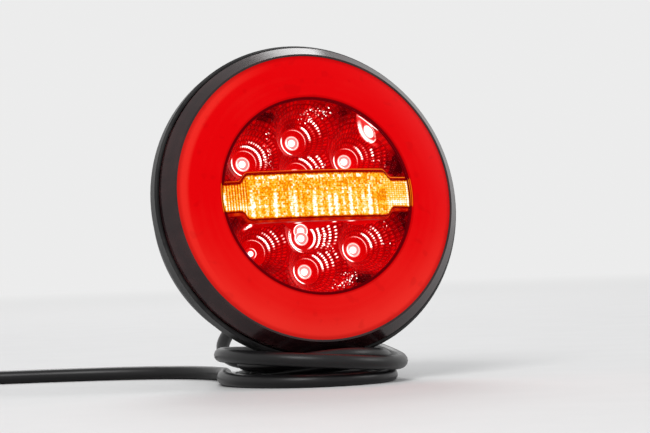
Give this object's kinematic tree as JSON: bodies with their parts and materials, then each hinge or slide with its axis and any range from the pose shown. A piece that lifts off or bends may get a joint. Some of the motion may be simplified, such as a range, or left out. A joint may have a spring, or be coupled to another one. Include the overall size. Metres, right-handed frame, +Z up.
{
  "type": "round rear combination lamp",
  "caption": "Round sealed rear lamp: milky red light ring, clear window over red reflector bowls, amber bar across the middle, leaning on its own coiled lead.",
  "frame": {"origin": "middle of the rear mounting face (back of the rubber pad), between the two studs", "axes": "+Z up, lamp's front towards -Y and leaning back 10.5 degrees, +X to the right seen from the front"},
  "size_m": [0.2424, 0.2015, 0.1483],
  "materials": {
    "housing_plastic": "semi gloss",
    "pad_rubber": "matte",
    "stud_steel": "zinc plated",
    "ring_red": "milky, gloss",
    "window_clear": "clear, gloss",
    "skirt_plastic": "gloss",
    "seal_rubber": "matte",
    "board_green": "solder mask",
    "screw_steel": "plain",
    "led_base": "matte",
    "led_dome": "clear",
    "amber_led": "matte",
    "ring_led": "matte",
    "chip_black": "matte",
    "resistor_grey": "matte",
    "reflector_metal": "vacuum metallised",
    "amber_clear": "fluted, gloss",
    "shaft_plastic": "gloss",
    "channel_white": "matte",
    "grommet_rubber": "matte",
    "jacket_black": "satin",
    "core_mixed": "satin",
    "core_yellow": "satin",
    "core_green": "satin",
    "core_white": "satin",
    "core_brown": "satin",
    "core_red": "satin",
    "bare_copper": "bare strands"
  },
  "bodies": {
    "root": {"rear_housing": "housing_plastic", "mounting_pad": "pad_rubber", "mounting_studs": "stud_steel", "ring_lens": "ring_red", "window_lens": "window_clear", "lens_skirt": "skirt_plastic", "lens_seal": "seal_rubber", "main_board": "board_green", "board_screws": "screw_steel", "red_leds": "led_base", "red_led_domes": "led_dome", "amber_leds": "amber_led", "ring_leds": "ring_led", "driver_chips": "chip_black", "board_resistors": "resistor_grey", "bowl_reflector": "reflector_metal", "amber_lens": "amber_clear", "amber_light_shaft": "shaft_plastic", "ring_light_channel": "channel_white", "cable_grommet": "grommet_rubber", "cable_entry": "jacket_black", "inner_cores": "core_mixed", "cable_lead_out": "jacket_black", "cable_coil": "jacket_black", "cable_tail": "jacket_black", "core_yellow": "core_yellow", "core_green": "core_green", "core_white": "core_white", "core_brown": "core_brown", "core_red": "core_red", "core_tips": "bare_copper"}
  },
  "joints": []
}
